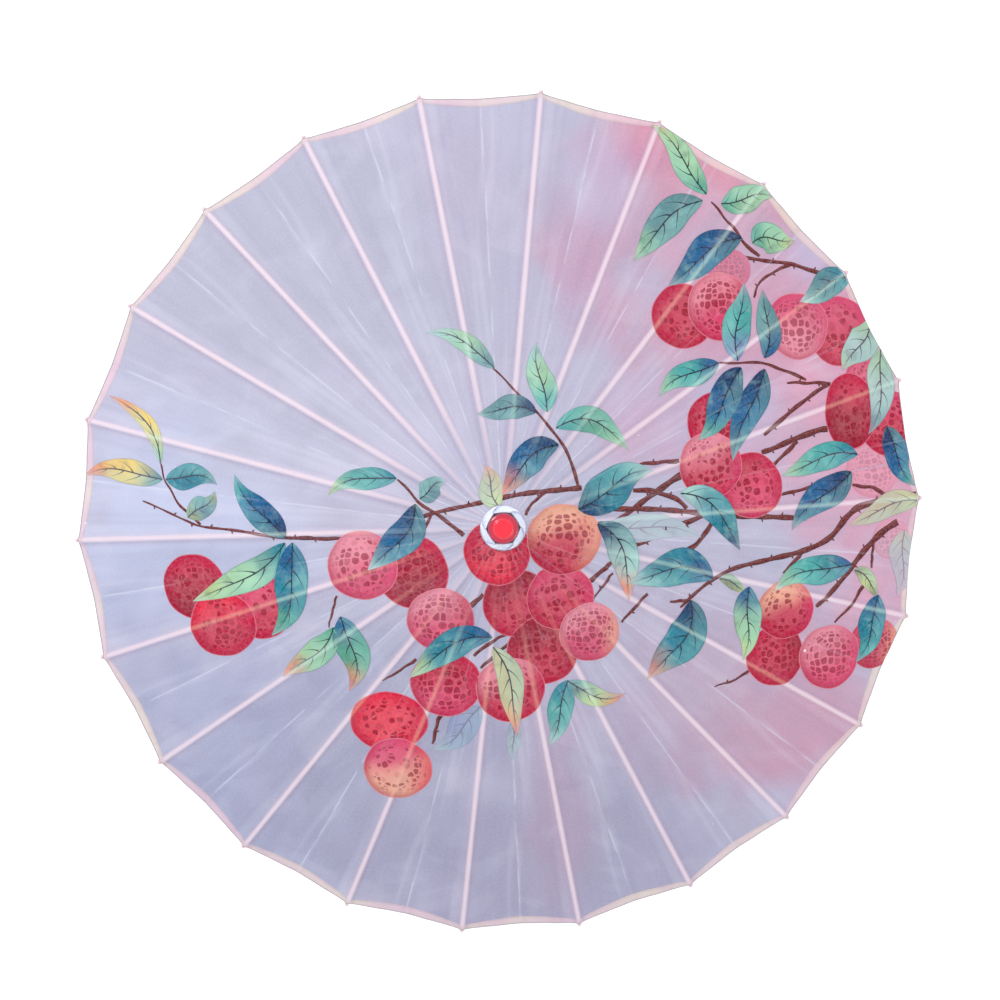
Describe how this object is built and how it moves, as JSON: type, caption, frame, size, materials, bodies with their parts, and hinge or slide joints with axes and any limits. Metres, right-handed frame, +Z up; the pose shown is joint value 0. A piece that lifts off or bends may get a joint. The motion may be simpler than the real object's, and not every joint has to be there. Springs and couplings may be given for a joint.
{
  "type": "craft parasol",
  "caption": "Round folding parasol: printed cloth stretched over hinged bamboo ribs, held open by stretchers from a runner that slides on a straight pole.",
  "frame": {"origin": "middle of the grip's bottom face, on the pole's axis", "axes": "+Z up the pole from the grip to the cap; +X along the first rib"},
  "size_m": [0.8306, 0.8226, 0.5379],
  "materials": {
    "stick_wood": "oiled bamboo",
    "turned_wood": "varnished turned wood",
    "block_wood": "plain turned wood",
    "bamboo": "split bamboo",
    "cotton_thread": "waxed thread",
    "spring_steel": "spring steel",
    "ferrule_metal": "brushed brass",
    "printed_cloth": "thin printed cloth",
    "collar_cloth": "folded white cloth",
    "red_cap": "gloss red"
  },
  "bodies": {
    "pole": {"pole": "stick_wood", "grip": "turned_wood", "grip_ferrule": "ferrule_metal", "head_block": "block_wood", "head_thread": "cotton_thread", "catch_pin": "spring_steel", "canopy": "printed_cloth", "rim_cord": "cotton_thread", "pivot_thread": "cotton_thread", "collar": "collar_cloth", "cap": "red_cap"},
    "runner": {"runner": "block_wood", "runner_thread": "cotton_thread"},
    "catch": {"catch": "spring_steel"},
    "rib_01": {"rib_01": "bamboo"},
    "stretcher_01": {"stretcher_01": "bamboo"},
    "rib_02": {"rib_02": "bamboo"},
    "stretcher_02": {"stretcher_02": "bamboo"},
    "rib_03": {"rib_03": "bamboo"},
    "stretcher_03": {"stretcher_03": "bamboo"},
    "rib_04": {"rib_04": "bamboo"},
    "stretcher_04": {"stretcher_04": "bamboo"},
    "rib_05": {"rib_05": "bamboo"},
    "stretcher_05": {"stretcher_05": "bamboo"},
    "rib_06": {"rib_06": "bamboo"},
    "stretcher_06": {"stretcher_06": "bamboo"},
    "rib_07": {"rib_07": "bamboo"},
    "stretcher_07": {"stretcher_07": "bamboo"},
    "rib_08": {"rib_08": "bamboo"},
    "stretcher_08": {"stretcher_08": "bamboo"},
    "rib_09": {"rib_09": "bamboo"},
    "stretcher_09": {"stretcher_09": "bamboo"},
    "rib_10": {"rib_10": "bamboo"},
    "stretcher_10": {"stretcher_10": "bamboo"},
    "rib_11": {"rib_11": "bamboo"},
    "stretcher_11": {"stretcher_11": "bamboo"},
    "rib_12": {"rib_12": "bamboo"},
    "stretcher_12": {"stretcher_12": "bamboo"},
    "rib_13": {"rib_13": "bamboo"},
    "stretcher_13": {"stretcher_13": "bamboo"},
    "rib_14": {"rib_14": "bamboo"},
    "stretcher_14": {"stretcher_14": "bamboo"},
    "rib_15": {"rib_15": "bamboo"},
    "stretcher_15": {"stretcher_15": "bamboo"},
    "rib_16": {"rib_16": "bamboo"},
    "stretcher_16": {"stretcher_16": "bamboo"},
    "rib_17": {"rib_17": "bamboo"},
    "stretcher_17": {"stretcher_17": "bamboo"},
    "rib_18": {"rib_18": "bamboo"},
    "stretcher_18": {"stretcher_18": "bamboo"},
    "rib_19": {"rib_19": "bamboo"},
    "stretcher_19": {"stretcher_19": "bamboo"},
    "rib_20": {"rib_20": "bamboo"},
    "stretcher_20": {"stretcher_20": "bamboo"},
    "rib_21": {"rib_21": "bamboo"},
    "stretcher_21": {"stretcher_21": "bamboo"},
    "rib_22": {"rib_22": "bamboo"},
    "stretcher_22": {"stretcher_22": "bamboo"}
  },
  "joints": [
    {"name": "runner_slide", "type": "slide", "parent": "pole", "child": "runner", "axis": [0, 0, 1], "range_m": [-0.27474, 0], "deforming": ["canopy", "rim_cord", "pivot_thread", "runner_thread", "catch"]},
    {"name": "rib_hinge_01", "type": "hinge", "parent": "pole", "child": "rib_01", "pos_m": [0.014, 0, 0.52], "axis": [0, 1, 0], "range_deg": [0, 71.01]},
    {"name": "stretcher_hinge_01", "type": "hinge", "parent": "rib_01", "child": "stretcher_01", "pos_m": [0.19664, 0, 0.46763], "axis": [0, 1, 0], "range_deg": [-142.02, 0]},
    {"name": "rib_hinge_02", "type": "hinge", "parent": "pole", "child": "rib_02", "pos_m": [0.01343, 0.00394, 0.52], "axis": [-0.2817, 0.9595, 0], "range_deg": [0, 71.01]},
    {"name": "stretcher_hinge_02", "type": "hinge", "parent": "rib_02", "child": "stretcher_02", "pos_m": [0.18867, 0.0554, 0.46763], "axis": [-0.2817, 0.9595, 0], "range_deg": [-142.02, 0]},
    {"name": "rib_hinge_03", "type": "hinge", "parent": "pole", "child": "rib_03", "pos_m": [0.01178, 0.00757, 0.52], "axis": [-0.5406, 0.8413, 0], "range_deg": [0, 71.01]},
    {"name": "stretcher_hinge_03", "type": "hinge", "parent": "rib_03", "child": "stretcher_03", "pos_m": [0.16542, 0.10631, 0.46763], "axis": [-0.5406, 0.8413, 0], "range_deg": [-142.02, 0]},
    {"name": "rib_hinge_04", "type": "hinge", "parent": "pole", "child": "rib_04", "pos_m": [0.00917, 0.01058, 0.52], "axis": [-0.7557, 0.6549, 0], "range_deg": [0, 71.01]},
    {"name": "stretcher_hinge_04", "type": "hinge", "parent": "rib_04", "child": "stretcher_04", "pos_m": [0.12877, 0.14861, 0.46763], "axis": [-0.7557, 0.6549, 0], "range_deg": [-142.02, 0]},
    {"name": "rib_hinge_05", "type": "hinge", "parent": "pole", "child": "rib_05", "pos_m": [0.00582, 0.01273, 0.52], "axis": [-0.9096, 0.4154, 0], "range_deg": [0, 71.01]},
    {"name": "stretcher_hinge_05", "type": "hinge", "parent": "rib_05", "child": "stretcher_05", "pos_m": [0.08169, 0.17887, 0.46763], "axis": [-0.9096, 0.4154, 0], "range_deg": [-142.02, 0]},
    {"name": "rib_hinge_06", "type": "hinge", "parent": "pole", "child": "rib_06", "pos_m": [0.00199, 0.01386, 0.52], "axis": [-0.9898, 0.1423, 0], "range_deg": [0, 71.01]},
    {"name": "stretcher_hinge_06", "type": "hinge", "parent": "rib_06", "child": "stretcher_06", "pos_m": [0.02798, 0.19464, 0.46763], "axis": [-0.9898, 0.1423, 0], "range_deg": [-142.02, 0]},
    {"name": "rib_hinge_07", "type": "hinge", "parent": "pole", "child": "rib_07", "pos_m": [-0.00199, 0.01386, 0.52], "axis": [-0.9898, -0.1423, 0], "range_deg": [0, 71.01]},
    {"name": "stretcher_hinge_07", "type": "hinge", "parent": "rib_07", "child": "stretcher_07", "pos_m": [-0.02798, 0.19464, 0.46763], "axis": [-0.9898, -0.1423, 0], "range_deg": [-142.02, 0]},
    {"name": "rib_hinge_08", "type": "hinge", "parent": "pole", "child": "rib_08", "pos_m": [-0.00582, 0.01273, 0.52], "axis": [-0.9096, -0.4154, 0], "range_deg": [0, 71.01]},
    {"name": "stretcher_hinge_08", "type": "hinge", "parent": "rib_08", "child": "stretcher_08", "pos_m": [-0.08169, 0.17887, 0.46763], "axis": [-0.9096, -0.4154, 0], "range_deg": [-142.02, 0]},
    {"name": "rib_hinge_09", "type": "hinge", "parent": "pole", "child": "rib_09", "pos_m": [-0.00917, 0.01058, 0.52], "axis": [-0.7557, -0.6549, 0], "range_deg": [0, 71.01]},
    {"name": "stretcher_hinge_09", "type": "hinge", "parent": "rib_09", "child": "stretcher_09", "pos_m": [-0.12877, 0.14861, 0.46763], "axis": [-0.7557, -0.6549, 0], "range_deg": [-142.02, 0]},
    {"name": "rib_hinge_10", "type": "hinge", "parent": "pole", "child": "rib_10", "pos_m": [-0.01178, 0.00757, 0.52], "axis": [-0.5406, -0.8413, 0], "range_deg": [0, 71.01]},
    {"name": "stretcher_hinge_10", "type": "hinge", "parent": "rib_10", "child": "stretcher_10", "pos_m": [-0.16542, 0.10631, 0.46763], "axis": [-0.5406, -0.8413, 0], "range_deg": [-142.02, 0]},
    {"name": "rib_hinge_11", "type": "hinge", "parent": "pole", "child": "rib_11", "pos_m": [-0.01343, 0.00394, 0.52], "axis": [-0.2817, -0.9595, 0], "range_deg": [0, 71.01]},
    {"name": "stretcher_hinge_11", "type": "hinge", "parent": "rib_11", "child": "stretcher_11", "pos_m": [-0.18867, 0.0554, 0.46763], "axis": [-0.2817, -0.9595, 0], "range_deg": [-142.02, 0]},
    {"name": "rib_hinge_12", "type": "hinge", "parent": "pole", "child": "rib_12", "pos_m": [-0.014, 0, 0.52], "axis": [0, -1, 0], "range_deg": [0, 71.01]},
    {"name": "stretcher_hinge_12", "type": "hinge", "parent": "rib_12", "child": "stretcher_12", "pos_m": [-0.19664, 0, 0.46763], "axis": [0, -1, 0], "range_deg": [-142.02, 0]},
    {"name": "rib_hinge_13", "type": "hinge", "parent": "pole", "child": "rib_13", "pos_m": [-0.01343, -0.00394, 0.52], "axis": [0.2817, -0.9595, 0], "range_deg": [0, 71.01]},
    {"name": "stretcher_hinge_13", "type": "hinge", "parent": "rib_13", "child": "stretcher_13", "pos_m": [-0.18867, -0.0554, 0.46763], "axis": [0.2817, -0.9595, 0], "range_deg": [-142.02, 0]},
    {"name": "rib_hinge_14", "type": "hinge", "parent": "pole", "child": "rib_14", "pos_m": [-0.01178, -0.00757, 0.52], "axis": [0.5406, -0.8413, 0], "range_deg": [0, 71.01]},
    {"name": "stretcher_hinge_14", "type": "hinge", "parent": "rib_14", "child": "stretcher_14", "pos_m": [-0.16542, -0.10631, 0.46763], "axis": [0.5406, -0.8413, 0], "range_deg": [-142.02, 0]},
    {"name": "rib_hinge_15", "type": "hinge", "parent": "pole", "child": "rib_15", "pos_m": [-0.00917, -0.01058, 0.52], "axis": [0.7557, -0.6549, 0], "range_deg": [0, 71.01]},
    {"name": "stretcher_hinge_15", "type": "hinge", "parent": "rib_15", "child": "stretcher_15", "pos_m": [-0.12877, -0.14861, 0.46763], "axis": [0.7557, -0.6549, 0], "range_deg": [-142.02, 0]},
    {"name": "rib_hinge_16", "type": "hinge", "parent": "pole", "child": "rib_16", "pos_m": [-0.00582, -0.01273, 0.52], "axis": [0.9096, -0.4154, 0], "range_deg": [0, 71.01]},
    {"name": "stretcher_hinge_16", "type": "hinge", "parent": "rib_16", "child": "stretcher_16", "pos_m": [-0.08169, -0.17887, 0.46763], "axis": [0.9096, -0.4154, 0], "range_deg": [-142.02, 0]},
    {"name": "rib_hinge_17", "type": "hinge", "parent": "pole", "child": "rib_17", "pos_m": [-0.00199, -0.01386, 0.52], "axis": [0.9898, -0.1423, 0], "range_deg": [0, 71.01]},
    {"name": "stretcher_hinge_17", "type": "hinge", "parent": "rib_17", "child": "stretcher_17", "pos_m": [-0.02798, -0.19464, 0.46763], "axis": [0.9898, -0.1423, 0], "range_deg": [-142.02, 0]},
    {"name": "rib_hinge_18", "type": "hinge", "parent": "pole", "child": "rib_18", "pos_m": [0.00199, -0.01386, 0.52], "axis": [0.9898, 0.1423, 0], "range_deg": [0, 71.01]},
    {"name": "stretcher_hinge_18", "type": "hinge", "parent": "rib_18", "child": "stretcher_18", "pos_m": [0.02798, -0.19464, 0.46763], "axis": [0.9898, 0.1423, 0], "range_deg": [-142.02, 0]},
    {"name": "rib_hinge_19", "type": "hinge", "parent": "pole", "child": "rib_19", "pos_m": [0.00582, -0.01273, 0.52], "axis": [0.9096, 0.4154, 0], "range_deg": [0, 71.01]},
    {"name": "stretcher_hinge_19", "type": "hinge", "parent": "rib_19", "child": "stretcher_19", "pos_m": [0.08169, -0.17887, 0.46763], "axis": [0.9096, 0.4154, 0], "range_deg": [-142.02, 0]},
    {"name": "rib_hinge_20", "type": "hinge", "parent": "pole", "child": "rib_20", "pos_m": [0.00917, -0.01058, 0.52], "axis": [0.7557, 0.6549, 0], "range_deg": [0, 71.01]},
    {"name": "stretcher_hinge_20", "type": "hinge", "parent": "rib_20", "child": "stretcher_20", "pos_m": [0.12877, -0.14861, 0.46763], "axis": [0.7557, 0.6549, 0], "range_deg": [-142.02, 0]},
    {"name": "rib_hinge_21", "type": "hinge", "parent": "pole", "child": "rib_21", "pos_m": [0.01178, -0.00757, 0.52], "axis": [0.5406, 0.8413, 0], "range_deg": [0, 71.01]},
    {"name": "stretcher_hinge_21", "type": "hinge", "parent": "rib_21", "child": "stretcher_21", "pos_m": [0.16542, -0.10631, 0.46763], "axis": [0.5406, 0.8413, 0], "range_deg": [-142.02, 0]},
    {"name": "rib_hinge_22", "type": "hinge", "parent": "pole", "child": "rib_22", "pos_m": [0.01343, -0.00394, 0.52], "axis": [0.2817, 0.9595, 0], "range_deg": [0, 71.01]},
    {"name": "stretcher_hinge_22", "type": "hinge", "parent": "rib_22", "child": "stretcher_22", "pos_m": [0.18867, -0.0554, 0.46763], "axis": [0.2817, 0.9595, 0], "range_deg": [-142.02, 0]},
    {"name": "catch_press", "type": "hinge", "parent": "pole", "child": "catch", "pos_m": [0, 0, 0.32746], "axis": [0, -1, 0], "range_deg": [0, 5], "stiffness_Nm_per_rad": 0.3}
  ],
  "couplings": [
    {"joint": "rib_hinge_01", "follows": "runner_slide", "rad_per_m": -4.5104},
    {"joint": "stretcher_hinge_01", "follows": "runner_slide", "rad_per_m": 9.0209},
    {"joint": "rib_hinge_02", "follows": "runner_slide", "rad_per_m": -4.5104},
    {"joint": "stretcher_hinge_02", "follows": "runner_slide", "rad_per_m": 9.0209},
    {"joint": "rib_hinge_03", "follows": "runner_slide", "rad_per_m": -4.5104},
    {"joint": "stretcher_hinge_03", "follows": "runner_slide", "rad_per_m": 9.0209},
    {"joint": "rib_hinge_04", "follows": "runner_slide", "rad_per_m": -4.5104},
    {"joint": "stretcher_hinge_04", "follows": "runner_slide", "rad_per_m": 9.0209},
    {"joint": "rib_hinge_05", "follows": "runner_slide", "rad_per_m": -4.5104},
    {"joint": "stretcher_hinge_05", "follows": "runner_slide", "rad_per_m": 9.0209},
    {"joint": "rib_hinge_06", "follows": "runner_slide", "rad_per_m": -4.5104},
    {"joint": "stretcher_hinge_06", "follows": "runner_slide", "rad_per_m": 9.0209},
    {"joint": "rib_hinge_07", "follows": "runner_slide", "rad_per_m": -4.5104},
    {"joint": "stretcher_hinge_07", "follows": "runner_slide", "rad_per_m": 9.0209},
    {"joint": "rib_hinge_08", "follows": "runner_slide", "rad_per_m": -4.5104},
    {"joint": "stretcher_hinge_08", "follows": "runner_slide", "rad_per_m": 9.0209},
    {"joint": "rib_hinge_09", "follows": "runner_slide", "rad_per_m": -4.5104},
    {"joint": "stretcher_hinge_09", "follows": "runner_slide", "rad_per_m": 9.0209},
    {"joint": "rib_hinge_10", "follows": "runner_slide", "rad_per_m": -4.5104},
    {"joint": "stretcher_hinge_10", "follows": "runner_slide", "rad_per_m": 9.0209},
    {"joint": "rib_hinge_11", "follows": "runner_slide", "rad_per_m": -4.5104},
    {"joint": "stretcher_hinge_11", "follows": "runner_slide", "rad_per_m": 9.0209},
    {"joint": "rib_hinge_12", "follows": "runner_slide", "rad_per_m": -4.5104},
    {"joint": "stretcher_hinge_12", "follows": "runner_slide", "rad_per_m": 9.0209},
    {"joint": "rib_hinge_13", "follows": "runner_slide", "rad_per_m": -4.5104},
    {"joint": "stretcher_hinge_13", "follows": "runner_slide", "rad_per_m": 9.0209},
    {"joint": "rib_hinge_14", "follows": "runner_slide", "rad_per_m": -4.5104},
    {"joint": "stretcher_hinge_14", "follows": "runner_slide", "rad_per_m": 9.0209},
    {"joint": "rib_hinge_15", "follows": "runner_slide", "rad_per_m": -4.5104},
    {"joint": "stretcher_hinge_15", "follows": "runner_slide", "rad_per_m": 9.0209},
    {"joint": "rib_hinge_16", "follows": "runner_slide", "rad_per_m": -4.5104},
    {"joint": "stretcher_hinge_16", "follows": "runner_slide", "rad_per_m": 9.0209},
    {"joint": "rib_hinge_17", "follows": "runner_slide", "rad_per_m": -4.5104},
    {"joint": "stretcher_hinge_17", "follows": "runner_slide", "rad_per_m": 9.0209},
    {"joint": "rib_hinge_18", "follows": "runner_slide", "rad_per_m": -4.5104},
    {"joint": "stretcher_hinge_18", "follows": "runner_slide", "rad_per_m": 9.0209},
    {"joint": "rib_hinge_19", "follows": "runner_slide", "rad_per_m": -4.5104},
    {"joint": "stretcher_hinge_19", "follows": "runner_slide", "rad_per_m": 9.0209},
    {"joint": "rib_hinge_20", "follows": "runner_slide", "rad_per_m": -4.5104},
    {"joint": "stretcher_hinge_20", "follows": "runner_slide", "rad_per_m": 9.0209},
    {"joint": "rib_hinge_21", "follows": "runner_slide", "rad_per_m": -4.5104},
    {"joint": "stretcher_hinge_21", "follows": "runner_slide", "rad_per_m": 9.0209},
    {"joint": "rib_hinge_22", "follows": "runner_slide", "rad_per_m": -4.5104},
    {"joint": "stretcher_hinge_22", "follows": "runner_slide", "rad_per_m": 9.0209}
  ]
}
